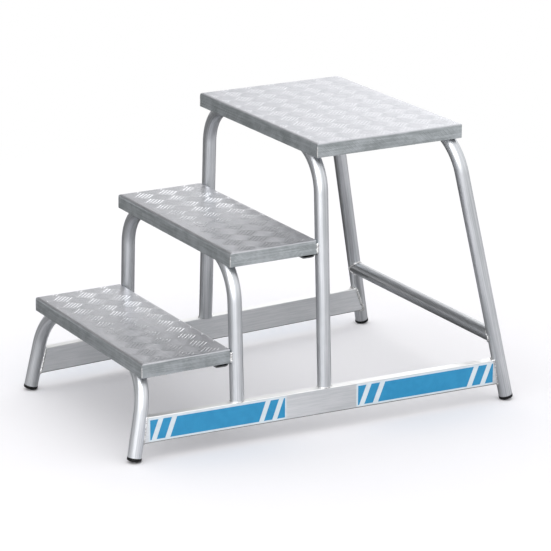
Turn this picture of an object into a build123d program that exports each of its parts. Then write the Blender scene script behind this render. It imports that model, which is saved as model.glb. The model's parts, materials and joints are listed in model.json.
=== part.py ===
from build123d import *
import os
from math import asin, atan2, hypot, sqrt, tan

# Machine steps: two step treads and a platform of folded plate, carried by four bent-tube hoops
# that stand on two base rails and four end plugs. Millimetres, +Z up, +Y the way a person climbs.
# While it is modelled, Y = 0 is the lower tread's front edge; the finished part is moved so that
# the origin is the middle of its footprint on the floor.

# Treads
tread_width = 500.0  # from side to side
first_rise = 203.0  # floor to the lower tread's top
tread_rise = 200.0  # each tread to the next
tread_pitch = 198.5  # one front edge to the next front edge
platform_depth = 347.0  # front to back
plate_thickness = 2.5
skirt_height = 30.0  # folded edge, measured from the top
front_fold_radius = 7.0  # outside of the fold
side_fold_radius = 3.5  # outside of the fold, and of the upright back corners
corner_notch = 2.0  # bevel of the front corners that a weld fills

# Hoops, all of one bent tube
tube_diameter = 29.0
tube_wall = 2.5
bend_radius = 95.0  # on the tube's axis
hoop_half_width = 233.0  # middle to where the axes of leg and top cross
rear_hoop_half_width = 249.0
rear_hoop_inset = 4.0  # from the platform's back skirt to the tube
front_foot_half_spread = 247.0  # middle to the leg's axis on the floor
front_foot_reach = 18.0  # leg's axis on the floor, ahead of the lower tread
rear_foot_half_spread = 295.0
rear_foot_reach = 98.5  # leg's axis on the floor, behind the platform

# Base rails and rear brace
rail_height = 55.0
rail_thickness = 18.0
rail_wall = 2.0
rail_edge_radius = 2.0
rail_floor_gap = 35.5
rail_rear_inset = 4.5  # rail's middle, inwards of the rear leg's axis
brace_height = 140.5  # floor to the brace's axis

# Folded channel across the back of each step tread
channel_depth = 35.0
channel_drop = 7.0  # below the tread's skirt
channel_wall = 2.5
channel_radius = 9.0  # outside of its lower folds

# End plugs that the part stands on
foot_rim = 5.5  # straight part of the plug below the tube
foot_dome = 4.0  # height of the domed underside
foot_lip = 0.4  # rim's overhang past the tube
foot_flat_depth = 0.5  # how much of the dome the floor has worn flat
plug_length = 25.0  # shank inside the tube
plug_clearance = 0.1

# Labels on the rails' outer faces
label_height = 49.0
label_thickness = 0.4
front_label_length = 307.0
front_label_gap = 18.5  # from the rail's front end
rear_label_length = 327.0
rear_label_gap = 22.0  # from the rail's rear end

# Welds
weld_size = 2.5
back_weld_radius = 4.0  # upright beads behind the step treads
stitch_length = 40.0
stitch_count = 3  # under each hoop's top
joint_gap = 0.1  # between pieces that a weld joins

# Values that follow from the sizes above
tube_radius = tube_diameter / 2
tread_depth = tread_pitch + plate_thickness  # its back meets the next hoop's legs
platform_back = 2 * tread_pitch + platform_depth
rail_top = rail_floor_gap + rail_height
rail_middle = rail_floor_gap + rail_height / 2
channel_height = skirt_height + channel_drop - side_fold_radius - joint_gap


def mirrored(point):
    """The same point on the left side."""
    return Vector(-point.X, point.Y, point.Z)


def top_of(level):
    """Height of a tread's top above the floor; the lower tread is level 1 and the platform level 3."""
    return first_rise + (level - 1) * tread_rise


def hoop_corner(half_width, top_y, level):
    """Where a right leg's axis meets the axis of its hoop's top, just under the plate of a level."""
    top_z = top_of(level) - plate_thickness - joint_gap - tube_radius
    return Vector(half_width, top_y, top_z)


def front_axis_y(level):
    """Y of a tube that lies behind the front skirt of a level's tread."""
    return (level - 1) * tread_pitch + plate_thickness + joint_gap + tube_radius


def at_height(foot, corner, height):
    """Point of a leg's axis at a height above the floor."""
    return foot + (corner - foot) * ((height - foot.Z) / (corner.Z - foot.Z))


def leaning_top_y():
    """Y of the front hoop's top: the hoop leans so far that it just clears the skirt's lower edge."""
    edge_y = front_foot_reach + plate_thickness
    edge_z = first_rise - skirt_height
    lean = atan2(edge_y, edge_z) + asin((tube_radius + joint_gap) / hypot(edge_y, edge_z))
    return tan(lean) * hoop_corner(0, 0, 1).Z - front_foot_reach


# Right legs of the hoops that reach the floor
front_corner = hoop_corner(hoop_half_width, leaning_top_y(), 1)
front_foot = Vector(front_foot_half_spread, -front_foot_reach, 0)
rear_corner = hoop_corner(
    rear_hoop_half_width, platform_back - plate_thickness - rear_hoop_inset - tube_radius, 3
)
rear_foot = Vector(rear_foot_half_spread, platform_back + rear_foot_reach, 0)

# The right rail runs from leg to leg; its frame has x outwards, y down and z along the rail
rail_start = at_height(front_foot, front_corner, rail_middle)
rail_end = at_height(rear_foot, rear_corner, rail_middle) - Vector(rail_rear_inset, 0, 0)
rail_length = (rail_end - rail_start).length
rail_direction = (rail_end - rail_start).normalized()
rail_frame = Plane(rail_start, x_dir=rail_direction.cross(Vector(0, 0, 1)), z_dir=rail_direction)


def landing(level):
    """Where the right leg of a level's hoop stands on the rail, flush with the rail's outer face."""
    y = front_axis_y(level)
    along = (y - rail_start.Y) / rail_direction.Y
    centre_x = rail_start.X + rail_direction.X * along
    outer_x = centre_x + rail_thickness / 2 / rail_direction.Y
    return Vector(outer_x - tube_radius, y, rail_top)


middle_corner = hoop_corner(hoop_half_width, front_axis_y(2), 2)
upper_corner = hoop_corner(hoop_half_width, front_axis_y(3), 3)
middle_landing = landing(2)
upper_landing = landing(3)


def rod(start, end, radius, before=0.0, after=0.0):
    """Solid round bar between two points, longer by the given lengths."""
    along = (end - start).normalized()
    length = (end - start).length + before + after
    return Solid.make_cylinder(radius, length, Plane(start - along * before, z_dir=along))


def rounded_block(width, depth, height, front_radius, side_radius):
    """Block with its top at Z = 0 and its front at Y = 0, rounded where sheet is folded."""
    block = Box(width, depth, height, align=(Align.CENTER, Align.MIN, Align.MAX))
    back_corners = block.edges().filter_by(Axis.Z).group_by(Axis.Y)[-1]
    side_and_back_tops = block.edges().group_by(Axis.Z)[-1].sort_by(Axis.Y)[1:]
    block = fillet(back_corners + side_and_back_tops, side_radius)
    front_top = block.edges().filter_by(Axis.X).group_by(Axis.Y)[0].sort_by(Axis.Z)[-1]
    return fillet(front_top, front_radius)


def tray(depth, level):
    """Tread of a level: plate with skirts folded down on its four sides, open below."""
    outside = rounded_block(tread_width, depth, skirt_height, front_fold_radius, side_fold_radius)
    inside = rounded_block(
        tread_width - 2 * plate_thickness,
        depth - 2 * plate_thickness,
        skirt_height,
        front_fold_radius - plate_thickness,
        side_fold_radius - plate_thickness,
    )
    folded = outside - Pos(0, plate_thickness, -plate_thickness) * inside
    bar_size = sqrt(2) * corner_notch
    for side in (-1, 1):
        corner_bar = Box(bar_size, bar_size, 2 * skirt_height)
        folded -= Pos(side * tread_width / 2, 0, 0) * Rot(0, 0, 45) * corner_bar
    return Pos(0, (level - 1) * tread_pitch, top_of(level)) * folded


def channel(level):
    """U channel, open at both ends, inside the back skirt of a level's tread."""
    outer = Rectangle(channel_depth, channel_height, align=(Align.MAX, Align.MAX))
    outer = fillet(outer.vertices().group_by(Axis.Y)[0], channel_radius)
    inner = Rectangle(
        channel_depth - 2 * channel_wall, channel_height - channel_wall, align=(Align.MAX, Align.MAX)
    )
    inner = fillet(inner.vertices().group_by(Axis.Y)[0], channel_radius - channel_wall)
    section = outer - Pos(-channel_wall, 0) * inner
    half_length = tread_width / 2 - side_fold_radius - joint_gap
    back = (level - 1) * tread_pitch + tread_depth - plate_thickness - joint_gap
    top = top_of(level) - side_fold_radius - joint_gap
    return Pos(0, back, top) * extrude(Plane.YZ * section, amount=half_length, both=True)


def bent_tube(start, corner):
    """Hoop of round tube: up the right leg, across under the tread and down the left leg."""
    path = FilletPolyline(start, corner, mirrored(corner), mirrored(start), radius=bend_radius)
    ring = Circle(tube_radius) - Circle(tube_radius - tube_wall)
    return sweep(Plane(path @ 0, z_dir=path % 0) * ring, path=path)


def standing_hoop(foot, corner):
    """Hoop whose legs stand flat on top of the rails."""
    below = at_height(foot, corner, rail_middle)
    return split(bent_tube(below, corner), Plane.XY.offset(rail_top), keep=Keep.TOP)


# Plug in the tube's end: a round dome, so it meets the floor the same way at any lean of its leg
rim_radius = tube_radius + foot_lip
dome_radius = (rim_radius**2 + foot_dome**2) / (2 * foot_dome)


def dome_centre(foot, corner):
    """Centre of the ball that a plug's underside is part of."""
    return at_height(foot, corner, dome_radius - foot_flat_depth)


def tube_end(foot, corner):
    """Lower end of a leg that holds a plug."""
    up = (corner - foot).normalized()
    return dome_centre(foot, corner) - up * (dome_radius - foot_rim - foot_dome)


def end_plug(foot, corner):
    """Black plug: a shank in the tube, a rim under its end and a domed underside, flat on the floor."""
    shank_radius = tube_radius - tube_wall - plug_clearance
    shank = Pos(0, 0, -plug_length) * Solid.make_cylinder(shank_radius, plug_length)
    below = foot_rim + foot_dome
    ball = Pos(0, 0, below - dome_radius) * Sphere(dome_radius)
    head = Solid.make_cylinder(rim_radius, below) & ball
    down = (foot - corner).normalized()
    plug = Plane(tube_end(foot, corner), z_dir=down) * (shank + head)
    return split(plug, Plane.XY, keep=Keep.TOP)


def rail_bar(growth):
    """The right rail's outer shape as a solid bar, grown on its four long faces."""
    section = RectangleRounded(
        rail_thickness + 2 * growth, rail_height + 2 * growth, rail_edge_radius + growth
    )
    return extrude(rail_frame * section, amount=rail_length)


def right_rail():
    """Rectangular tube, its ends cut to fit the round legs."""
    bore = Rectangle(rail_thickness - 2 * rail_wall, rail_height - 2 * rail_wall)
    rail = rail_bar(0) - extrude(rail_frame * bore, amount=rail_length)
    for foot, corner in ((front_foot, front_corner), (rear_foot, rear_corner)):
        rail -= rod(foot, corner, tube_radius + joint_gap)
    return rail


brace_end = at_height(rear_foot, rear_corner, brace_height)


def rear_brace():
    """Round tube between the rear legs, its ends cut to fit them."""
    brace = rod(mirrored(brace_end), brace_end, tube_radius)
    brace -= rod(mirrored(brace_end), brace_end, tube_radius - tube_wall)
    brace -= rod(rear_foot, rear_corner, tube_radius + joint_gap)
    brace -= rod(mirrored(rear_foot), mirrored(rear_corner), tube_radius + joint_gap)
    return brace


def right_label(start, length):
    """Thin label on the right rail's outer face."""
    label = Box(label_thickness, label_height, length, align=(Align.MIN, Align.CENTER, Align.MIN))
    return rail_frame * Pos(rail_thickness / 2, 0, start) * label


def both_sides(shapes):
    """The shapes and their mirror images."""
    return shapes + [mirror(shape, about=Plane.YZ) for shape in shapes]


def largest(shape):
    """The bead itself, without the slivers that a cut leaves beside it."""
    return shape.solids().sort_by(SortBy.VOLUME)[-1]


def rail_welds():
    """Beads round each rail's ends, against the floor legs."""
    beads = []
    for foot, corner in ((front_foot, front_corner), (rear_foot, rear_corner)):
        bead = rail_bar(weld_size) & rod(foot, corner, tube_radius + weld_size)
        bead -= rail_bar(0)
        bead -= rod(foot, corner, tube_radius)
        beads.append(largest(bead))
    return both_sides(beads)


def hoop_foot_welds():
    """Beads where the middle and upper hoops' legs stand on the rails."""
    beads = []
    for foot, corner in ((middle_landing, middle_corner), (upper_landing, upper_corner)):
        bead = rail_bar(weld_size) & rod(foot, corner, tube_radius + weld_size, before=weld_size)
        bead -= rail_bar(0)
        bead -= rod(foot, corner, tube_radius, before=2 * weld_size)
        beads.append(bead)
    return both_sides(beads)


def brace_welds():
    """Beads round the brace's ends, against the rear legs."""
    middle = Vector(0, brace_end.Y, brace_end.Z)
    bead = rod(middle, brace_end, tube_radius + weld_size)
    bead &= rod(rear_foot, rear_corner, tube_radius + weld_size)
    bead -= rod(middle, brace_end, tube_radius)
    bead -= rod(rear_foot, rear_corner, tube_radius)
    return both_sides([bead])


def tread_back_welds():
    """Upright beads that join the step treads' back corners to the next hoop's legs."""
    beads = []
    height = skirt_height - 2 * side_fold_radius
    for level, foot, corner in ((1, middle_landing, middle_corner), (2, upper_landing, upper_corner)):
        back = (level - 1) * tread_pitch + tread_depth
        low = Vector(tread_width / 2, back, top_of(level) - skirt_height)
        bead = rod(low, low + Vector(0, 0, height), back_weld_radius)
        bead -= tray(tread_depth, level)
        bead -= rod(foot, corner, tube_radius)
        beads.append(largest(bead))
    return both_sides(beads)


def corner_welds():
    """Upright beads in the notches of the treads' front corners."""
    beads = []
    height = skirt_height - front_fold_radius
    for level, depth in ((1, tread_depth), (2, tread_depth), (3, platform_depth)):
        side = tread_width / 2 - corner_notch / 2
        front = (level - 1) * tread_pitch + corner_notch / 2
        low = Vector(side, front, top_of(level) - skirt_height)
        beads.append(rod(low, low + Vector(0, 0, height), corner_notch) - tray(depth, level))
    return both_sides(beads)


def stitch_welds():
    """Short beads between each hoop's top tube and the plate above it."""
    beads = []
    for level, corner, side in (
        (1, front_corner, 1),
        (2, middle_corner, 1),
        (3, upper_corner, 1),
        (3, rear_corner, -1),
    ):
        plate = top_of(level) - plate_thickness
        groove = corner.Y + side * 3 * weld_size
        top_tube = rod(mirrored(corner), corner, tube_radius)
        spacing = 2 * (corner.X - bend_radius) / stitch_count
        for number in range(stitch_count):
            middle = (number - (stitch_count - 1) / 2) * spacing
            start = Vector(middle - stitch_length / 2, groove, plate - weld_size / 2)
            bead = rod(start, start + Vector(stitch_length, 0, 0), weld_size) - top_tube
            beads.append(split(bead, Plane.XY.offset(plate), keep=Keep.BOTTOM))
    return beads


def whole_part():
    """Every piece by its name, as modelled from the lower tread's front edge."""
    pieces = {
        "lower_tread": tray(tread_depth, 1),
        "middle_tread": tray(tread_depth, 2),
        "platform": tray(platform_depth, 3),
        "front_hoop": bent_tube(tube_end(front_foot, front_corner), front_corner),
        "middle_hoop": standing_hoop(middle_landing, middle_corner),
        "upper_hoop": standing_hoop(upper_landing, upper_corner),
        "rear_hoop": bent_tube(tube_end(rear_foot, rear_corner), rear_corner),
        "rear_brace": rear_brace(),
        "lower_rear_channel": channel(1),
        "middle_rear_channel": channel(2),
        "rail_welds": Compound(rail_welds()),
        "hoop_foot_welds": Compound(hoop_foot_welds()),
        "brace_welds": Compound(brace_welds()),
        "tread_back_welds": Compound(tread_back_welds()),
        "corner_welds": Compound(corner_welds()),
        "stitch_welds": Compound(stitch_welds()),
    }
    right_side = {
        "rail": right_rail(),
        "front_foot": end_plug(front_foot, front_corner),
        "rear_foot": end_plug(rear_foot, rear_corner),
        "front_label": right_label(front_label_gap, front_label_length),
        "rear_label": right_label(rail_length - rear_label_gap - rear_label_length, rear_label_length),
    }
    for name, shape in right_side.items():
        pieces["right_" + name] = shape
        pieces["left_" + name] = mirror(shape, about=Plane.YZ)
    return pieces


pieces = whole_part()
box = Compound(list(pieces.values())).bounding_box()
to_origin = Pos(0, -box.center().Y, 0)
os.makedirs("parts", exist_ok=True)
for name, shape in pieces.items():
    export_step(to_origin * shape, "parts/" + name + ".step")
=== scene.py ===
# %% [markdown]
# Machine steps: two step treads and a platform of folded chequer plate, carried by four bent-tube
# hoops on two base rails and four black plugs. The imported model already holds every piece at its
# true size and place. This lesson loads it, swaps the plain solids for finer surfaces where the
# real metal shows more, and gives each piece its finish. Everything is in metres, with +Z up and +Y
# the way a person climbs.

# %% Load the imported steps
import json
from math import pi, radians

import bmesh
import bpy
import numpy as np
from mathutils import Matrix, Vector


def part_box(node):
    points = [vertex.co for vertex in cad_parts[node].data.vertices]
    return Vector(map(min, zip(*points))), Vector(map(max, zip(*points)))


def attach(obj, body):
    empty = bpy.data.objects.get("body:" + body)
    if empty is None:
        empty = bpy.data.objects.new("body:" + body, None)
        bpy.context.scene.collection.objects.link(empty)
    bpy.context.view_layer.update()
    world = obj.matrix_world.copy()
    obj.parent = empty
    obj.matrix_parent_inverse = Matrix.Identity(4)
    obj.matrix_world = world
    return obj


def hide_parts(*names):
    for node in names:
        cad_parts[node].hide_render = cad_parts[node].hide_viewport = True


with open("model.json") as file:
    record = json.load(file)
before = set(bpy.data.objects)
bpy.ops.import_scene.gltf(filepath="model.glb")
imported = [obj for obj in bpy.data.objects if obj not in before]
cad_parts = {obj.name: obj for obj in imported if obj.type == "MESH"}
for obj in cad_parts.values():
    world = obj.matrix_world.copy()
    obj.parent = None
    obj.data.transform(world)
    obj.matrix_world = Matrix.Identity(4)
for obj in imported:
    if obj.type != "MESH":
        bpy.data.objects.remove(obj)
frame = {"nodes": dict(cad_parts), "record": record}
nodes = frame["nodes"]
scene = bpy.context.scene
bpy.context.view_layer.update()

# %% [markdown]
# The camera stands to the right of the steps and a little above them, far away with a long lens, so
# that upright legs stay almost parallel in the picture. Its three axes come from two angles and a
# slight roll: this is the same as turning a tripod head, and it keeps the numbers that a
# photographer would note down.

# %% Camera
picture_size = 551  # pixels, both ways
focal_length = 2694.8  # in pixels of that picture
camera_place = np.array([4.7409, -2.6623, 1.9485])
azimuth, elevation, roll = np.radians([60.387, 17.277, -0.280])

backward = np.array(
    [np.sin(azimuth) * np.cos(elevation), -np.cos(azimuth) * np.cos(elevation), np.sin(elevation)]
)
level_right = np.array([np.cos(azimuth), np.sin(azimuth), 0])
level_up = np.cross(backward, level_right)
right = np.cos(roll) * level_right - np.sin(roll) * level_up
up = np.cos(roll) * level_up + np.sin(roll) * level_right

lens = bpy.data.cameras.new("camera")
lens.sensor_width = 36
lens.lens = focal_length * lens.sensor_width / picture_size
lens.clip_end = 100
camera = bpy.data.objects.new("camera", lens)
turned = np.eye(4)
turned[:3] = np.column_stack([right, up, backward, camera_place])
camera.matrix_world = Matrix(turned.tolist())
scene.collection.objects.link(camera)
scene.camera = camera
print("lens:", round(lens.lens, 1), "mm")

# %% [markdown]
# Each new piece is a net of points worked out with numpy: rows one way, columns the other. Joining
# neighbours gives the faces, and a net may close on itself either way, as round a tube. These
# helpers do that for every piece below, so the pieces themselves are only formulas. Object places
# stay at the origin and the shape is in the mesh.


# %% Nets and pieces
def net_faces(rows, columns, close_rows=False, close_columns=False):
    """Corner numbers of the four-sided faces between neighbouring rows and columns,
    wrapped round where the net is closed."""
    row = np.arange(rows if close_rows else rows - 1)[:, None]
    column = np.arange(columns if close_columns else columns - 1)[None, :]
    next_row = (row + 1) % rows
    next_column = (column + 1) % columns
    corners = (
        row * columns + column,
        row * columns + next_column,
        next_row * columns + next_column,
        next_row * columns + column,
    )
    return np.stack(np.broadcast_arrays(*corners), -1).reshape(-1, 4)


def net_uv(along, around):
    """Two coordinates at the faces' corners: one is given per row line of a net, one per column line."""
    row, column = np.meshgrid(np.arange(len(along) - 1), np.arange(len(around) - 1), indexing="ij")
    u = np.stack([along[row], along[row], along[row + 1], along[row + 1]], -1)
    v = np.stack([around[column], around[column + 1], around[column + 1], around[column]], -1)
    return np.stack([u, v], -1).reshape(-1, 2)


def make_piece(name, points, faces, uv=None, sharp=35):
    """A mesh object at the origin: its faces look outwards, and it is smooth but for edges that turn
    by more than the sharp angle, in degrees."""
    mesh = bpy.data.meshes.new(name)
    mesh.from_pydata(np.reshape(points, (-1, 3)), [], [list(face) for face in faces])
    if uv is not None:
        layer = mesh.uv_layers.new(name="surface")
        values = np.zeros((len(mesh.loops), 2), np.float32)
        values[: len(uv)] = uv
        layer.data.foreach_set("uv", values.ravel())
    work = bmesh.new()
    work.from_mesh(mesh)
    bmesh.ops.recalc_face_normals(work, faces=work.faces)
    work.to_mesh(mesh)
    work.free()
    mesh.shade_smooth()
    mesh.set_sharp_from_angle(angle=radians(sharp))
    piece = bpy.data.objects.new(name, mesh)
    scene.collection.objects.link(piece)
    print(name, "faces:", len(mesh.polygons))
    return piece


def place_piece(piece, slot, *stands_for):
    """Puts the piece on the one rigid body and shows it instead of the named nodes. The slot is not used."""
    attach(piece, "root")
    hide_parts(*stands_for)


def unit(vectors):
    """Vectors of length one."""
    return vectors / np.linalg.norm(vectors, axis=-1, keepdims=True)


def corners_of(node):
    """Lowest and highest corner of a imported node, as arrays."""
    low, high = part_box(node)
    return np.array(low), np.array(high)


# %% [markdown]
# A hoop is one length of round tube bent twice: up the right leg, across under the tread, down the
# left leg. A curve object with a round bevel would draw it, but a net gives the bore too, and
# coordinates along and around the tube that the drawn finish can follow. The centre line is
# straight runs and two arcs in one plane.

# %% Tube sizes
tube_radius = 0.0145
tube_wall = 0.0025
bend_radius = 0.095
hoop_half_width = 0.233
rear_hoop_half_width = 0.249
plug_ball_height = 0.02925  # height of the point where a floor leg's axis passes over its rest
tube_sides = 48
leg_steps = 8
bend_steps = 28
rests = {mount["name"]: np.array(mount["pos_m"]) for mount in frame["record"]["mounts"]}


def floor_leg(node, rest, half_width, top_y):
    """Lower end and upper corner of a right leg whose axis passes over its rest on the floor."""
    low, high = corners_of(node)
    corner = np.array([half_width, top_y, high[2] - tube_radius])
    over_rest = rests[rest] + [0, 0, plug_ball_height]
    upward = unit(corner - over_rest)
    end_height = low[2] + tube_radius * np.sqrt(1 - upward[2] ** 2)
    return over_rest + upward * (end_height - over_rest[2]) / upward[2], corner


def rail_leg(node):
    """Lower end and upper corner of a right leg that stands on the rail."""
    low, high = corners_of(node)
    middle_y = (low[1] + high[1]) / 2
    end = np.array([high[0] - tube_radius, middle_y, low[2]])
    return end, np.array([hoop_half_width, middle_y, high[2] - tube_radius])


front_top_y = corners_of("front_hoop")[1][1] - tube_radius
rear_top_y = corners_of("rear_hoop")[0][1] + tube_radius
legs = {
    "front_hoop": floor_leg("front_hoop", "front_right_foot_rest", hoop_half_width, front_top_y),
    "middle_hoop": rail_leg("middle_hoop"),
    "upper_hoop": rail_leg("upper_hoop"),
    "rear_hoop": floor_leg("rear_hoop", "rear_right_foot_rest", rear_hoop_half_width, rear_top_y),
}
for node, (end, corner) in legs.items():
    print(node, "leg from", np.round(end, 4), "to", np.round(corner, 4))

# %% [markdown]
# The tube itself is a circle carried along that centre line. Each ring stays square to the line,
# and because the line lies in one plane, one direction of every ring can be that plane's normal:
# the rings never twist. The legs that stand on a rail are cut level, so their end rings are slid
# along the leg to one height.


# %% Bent tubes
def hoop_line(end, corner):
    """Centre line and its directions: up a leg, round an arc, and the mirror image back down.
    On the arc a point is begin + radius * (sin(angle) * upward + (1 - cos(angle)) * inward)."""
    upward = unit(corner - end)
    across = np.array([-1.0, 0, 0])
    turn = np.arccos(upward @ across)
    inward = unit(across - (across @ upward) * upward)
    begin = corner - upward * bend_radius * np.tan(turn / 2)
    rise = np.linspace(0, 1, leg_steps, endpoint=False)[:, None]
    angle = np.linspace(0, turn, bend_steps + 1)[:, None]
    arc = begin + bend_radius * (np.sin(angle) * upward + (1 - np.cos(angle)) * inward)
    line = np.vstack([end + rise * (begin - end), arc])
    heading = np.vstack([np.tile(upward, (leg_steps, 1)), np.cos(angle) * upward + np.sin(angle) * inward])
    line = np.vstack([line, line[::-1] * [-1, 1, 1]])
    heading = np.vstack([heading, heading[::-1] * [1, -1, -1]])
    return line, heading, np.cross(upward, across)


def tube_net(line, heading, level):
    """Rings of the tube's outside and of its bore: centre + radius * (cos * level + sin * side)."""
    level = unit(level)
    side = np.cross(heading, level)
    turn = np.linspace(0, 2 * pi, tube_sides, endpoint=False)[None, :, None]
    circle = np.cos(turn) * level + np.sin(turn) * side[:, None]
    outside = line[:, None] + tube_radius * circle
    bore = line[:, None] + (tube_radius - tube_wall) * circle
    return outside, bore


def flat_end(ring, heading, height):
    """A ring slid along the tube until all of it is at one height, as a saw cut leaves it."""
    return ring + heading * (height - ring[:, 2:]) / heading[2]


def hoop_piece(node):
    """The closed tube of one hoop, with coordinates in metres along and around it."""
    end, corner = legs[node]
    line, heading, level = hoop_line(end, corner)
    outside, bore = tube_net(line, heading, level)
    if node in ("middle_hoop", "upper_hoop"):
        for rings in (outside, bore):
            rings[0] = flat_end(rings[0], heading[0], end[2])
            rings[-1] = flat_end(rings[-1], heading[-1], end[2])
    points = np.concatenate([outside, bore[::-1]])
    length = np.concatenate([[0], np.cumsum(np.linalg.norm(np.diff(line, axis=0), axis=1))])
    along = np.concatenate([length, length[::-1], length[:1]])
    around = np.linspace(0, 2 * pi * tube_radius, tube_sides + 1)
    faces = net_faces(len(points), tube_sides, True, True)
    piece = make_piece(node + "_tube", points, faces, net_uv(along, around))
    place_piece(piece, "tube", node)
    return piece


tube_pieces = [hoop_piece(node) for node in legs]

# %% [markdown]
# The rear brace is a straight tube whose ends are cut to sit against the round rear legs. Such a
# saddle cut needs no cutting tool here: each line along the tube simply runs on until it meets the
# leg's cylinder, which is one quadratic equation per line, solved for all lines at once. The weld
# beads below use the same function.

# %% Rear brace
brace_steps = 25


def run_to_leg(points, direction, node):
    """How far each point must travel along a direction to reach the near side of a right leg's surface:
    the smaller root of |offset + distance * step|^2 = radius^2, both measured square to the leg's axis.
    A point that would pass the leg by stops beside it."""
    end, corner = legs[node]
    axis = unit(corner - end)
    offset = points - end
    offset = offset - (offset @ axis)[..., None] * axis
    step = direction - (direction @ axis) * axis
    a = step @ step
    b = offset @ step
    c = (offset * offset).sum(-1) - tube_radius**2
    return (-b - np.sqrt(np.maximum(b * b - a * c, 0))) / a


def brace_rings(radius):
    """Rings of the brace at one radius, from the left leg's surface to the right leg's."""
    turn = np.linspace(0, 2 * pi, tube_sides, endpoint=False)
    ring = np.stack([0 * turn, np.cos(turn), np.sin(turn)], -1) * radius + brace_middle
    reach = run_to_leg(ring, np.array([1.0, 0, 0]), "rear_hoop")
    across = np.linspace(-1, 1, brace_steps)[:, None] * reach
    return ring + across[..., None] * [1, 0, 0]


brace_low, brace_high = corners_of("rear_brace")
brace_middle = (brace_low + brace_high) / 2
brace_points = np.concatenate([brace_rings(tube_radius), brace_rings(tube_radius - tube_wall)[::-1]])
brace_span = np.linspace(0, brace_high[0] - brace_low[0], brace_steps)
brace_along = np.concatenate([brace_span, brace_span[::-1], brace_span[:1]])
brace_uv = net_uv(brace_along, np.linspace(0, 2 * pi * tube_radius, tube_sides + 1))
brace_faces = net_faces(len(brace_points), tube_sides, True, True)
brace = make_piece("rear_brace_tube", brace_points, brace_faces, brace_uv)
place_piece(brace, "tube", "rear_brace")

# %% [markdown]
# A tread is a tray: the plate's four edges are folded down, with a wide fold at the front and tight
# folds at the sides and back. One section of the fold is carried round a rounded rectangle. The
# packed tray is as high as the tops of the raised bars, so the plate itself lies one bar height
# inside it, and the bars then reach its surface.

# %% Folded trays
bar_height = 0.0005
plate_thickness = 0.0025
skirt_height = 0.030
front_fold = 0.007
side_fold = 0.0035
rim_bevel = 0.0003
front_corner_radius = 0.0012
back_corner_radius = 0.0035
corner_steps = 7
fold_steps = 10
tightest_bend = 0.0003  # of an upright corner's inside


def fold_section(fold):
    """Inset and drop of a folded edge's section: round the outside, over the lower rim and
    back up the inside."""
    angle = np.linspace(0, pi / 2, fold_steps)
    outer = fold - bar_height
    inner = fold - plate_thickness
    outside = np.stack([fold - outer * np.sin(angle), fold - outer * np.cos(angle)], -1)
    inside = np.stack([fold - inner * np.sin(angle), fold - inner * np.cos(angle)], -1)
    rim = [
        [bar_height, skirt_height - rim_bevel],
        [bar_height + rim_bevel, skirt_height],
        [plate_thickness - rim_bevel, skirt_height],
        [plate_thickness, skirt_height - rim_bevel],
    ]
    return np.vstack([outside, rim, inside[::-1]])


def tray_rings(low, high):
    """One ring of points per point of the section: straight sides between four rounded corners.
    At a front corner the drop passes evenly from the front fold's to the side fold's."""
    front = fold_section(front_fold)[:, None]
    side = fold_section(side_fold)[:, None]
    share = np.linspace(0, 1, corner_steps)[None]
    rings = []
    for start, x_sign, y_sign, radius in (
        (-90, 1, -1, front_corner_radius),
        (0, 1, 1, back_corner_radius),
        (90, -1, 1, back_corner_radius),
        (180, -1, -1, front_corner_radius),
    ):
        angle = np.radians(start + 90 * share)
        bend = np.maximum(radius - side[..., 0], tightest_bend)
        x_edge = high[0] - side[..., 0] - bend
        y_edge = low[1] + front[..., 0] + bend if y_sign < 0 else high[1] - side[..., 0] - bend
        to_side = {-90: share, 180: 1 - share}.get(start, 1 + 0 * share)
        drop = front[..., 1] + (side[..., 1] - front[..., 1]) * to_side
        x = x_sign * x_edge + bend * np.cos(angle)
        y = y_edge + bend * np.sin(angle)
        rings.append(np.stack([x, y, high[2] - drop], -1))
    return np.concatenate(rings, 1)


for node in ("lower_tread", "middle_tread", "platform"):
    rings = tray_rings(*corners_of(node))
    print(node, "tray net:", rings.shape)

# %% [markdown]
# The plate is rolled with raised bars in groups of five; every other group is turned the other way,
# which gives the five-bar chequer that is common on steps and ramps. Bump mapping would only shade
# them, so each bar is a small closed mesh of a few faces. The bars are laid out on the flat sheet
# first and then folded with it, so the pattern runs on down the skirts just as it does when a real
# sheet is bent.

# %% Chequer bars on the flat sheet
bar_length = 0.040
bar_width = 0.0038
bar_spacing = 0.0070
bar_angle = radians(48)
bars_in_group = 5
group_pitch = np.array([0.0495, 0.0567])
bar_sink = 0.0002  # how far a bar's foot is let into the plate
skirt_press = 0.75  # share of its height that a bar keeps on a skirt, where the folding press bears on it
shortest_bar = 0.006
bar_sections = 7
bar_tip = 0.15  # share of its width that a bar keeps at its ends
bar_roundness = 0.4  # 0 keeps a bar's sides straight, 1 makes them a parabola
tip_height = 0.35  # share of its height that a bar keeps at its ends
ridge_across = np.array([-1, -0.15, 0.15, 1])  # the four points of a bar's section, in half widths
ridge_height = np.array([0, 1, 1, 0])
ridge_points = len(ridge_across)
crisp_turn = 20  # degrees; edges that turn more stay crisp, as along a bar
sheet_margin = 0.05  # how far past the sheet the pattern is laid before it is cut


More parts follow.
